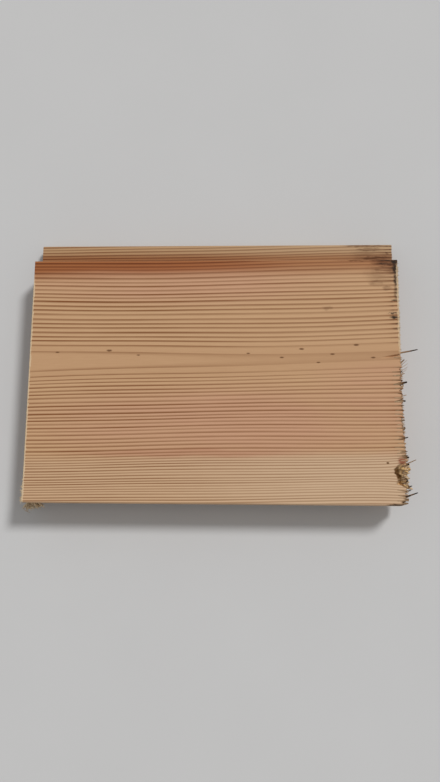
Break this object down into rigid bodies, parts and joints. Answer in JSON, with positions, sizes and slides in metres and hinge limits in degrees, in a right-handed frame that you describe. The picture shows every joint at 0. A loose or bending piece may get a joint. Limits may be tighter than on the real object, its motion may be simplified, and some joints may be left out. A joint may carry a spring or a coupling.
{
  "type": "cladding board",
  "caption": "Short offcut of lap-jointed softwood cladding board: flat planed face, rear lip on one long edge, rear rebate behind the other, a sawn end and a torn end.",
  "frame": {"origin": "on the back of the board, under the middle of its outer box", "axes": "+X along the board towards the torn end, +Y across it towards the rear lip, +Z out of the face"},
  "size_m": [0.197, 0.145, 0.021],
  "materials": {
    "softwood": "planed, unfinished"
  },
  "bodies": {
    "root": {"cladding_board": "softwood"}
  },
  "joints": []
}
